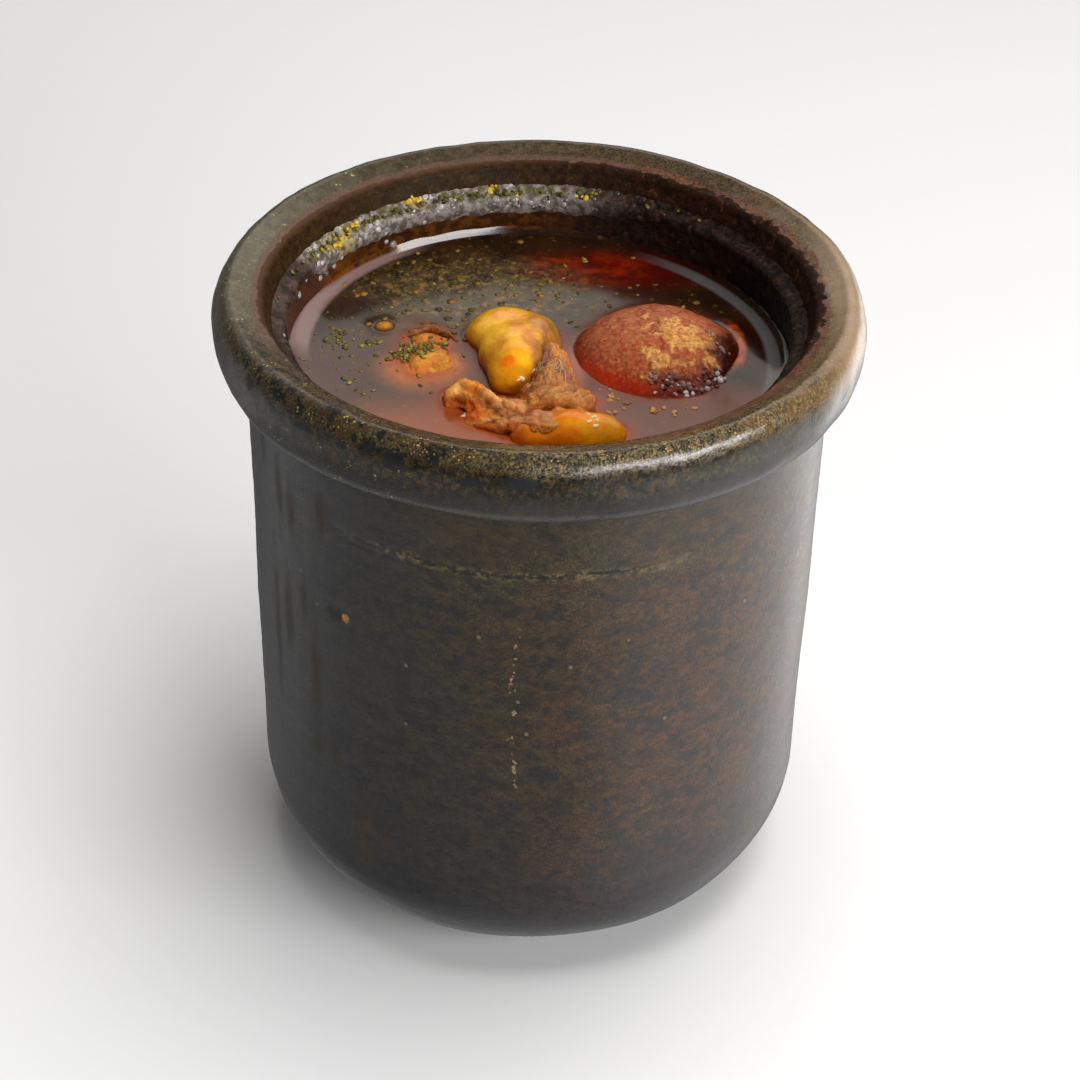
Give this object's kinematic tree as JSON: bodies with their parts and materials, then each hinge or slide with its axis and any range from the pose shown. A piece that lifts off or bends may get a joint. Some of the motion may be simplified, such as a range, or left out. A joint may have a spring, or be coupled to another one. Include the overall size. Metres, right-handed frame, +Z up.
{
  "type": "dizi stew in its pot",
  "caption": "Persian lamb and chickpea stew in a thick-lipped, dark glazed stoneware pot, with tomato, tail fat and lamb standing out of the oily broth.",
  "frame": {"origin": "middle of the pot's foot, on the surface it stands on", "axes": "+Z up along the pot's axis, -Y towards the front, +X to the right seen from the front"},
  "size_m": [0.13, 0.13, 0.1365],
  "materials": {
    "stoneware_glaze": "glossy dark grey-brown mottled glaze",
    "broth_liquor": "wet, oily dark red-brown broth",
    "tomato_skin": "cooked tomato with a crust of spice",
    "tail_fat": "smooth wet yellow-orange fat",
    "lamb": "stringy brown boiled meat, wet",
    "potato": "soft orange-yellow boiled potato, wet",
    "chickpea": "cooked golden chickpea, wet"
  },
  "bodies": {
    "root": {"pot": "stoneware_glaze", "broth": "broth_liquor", "tomato": "tomato_skin", "tail_fat": "tail_fat", "front_fat": "tail_fat", "lamb_meat": "lamb", "potato_chunk": "potato", "chickpea": "chickpea"}
  },
  "joints": []
}
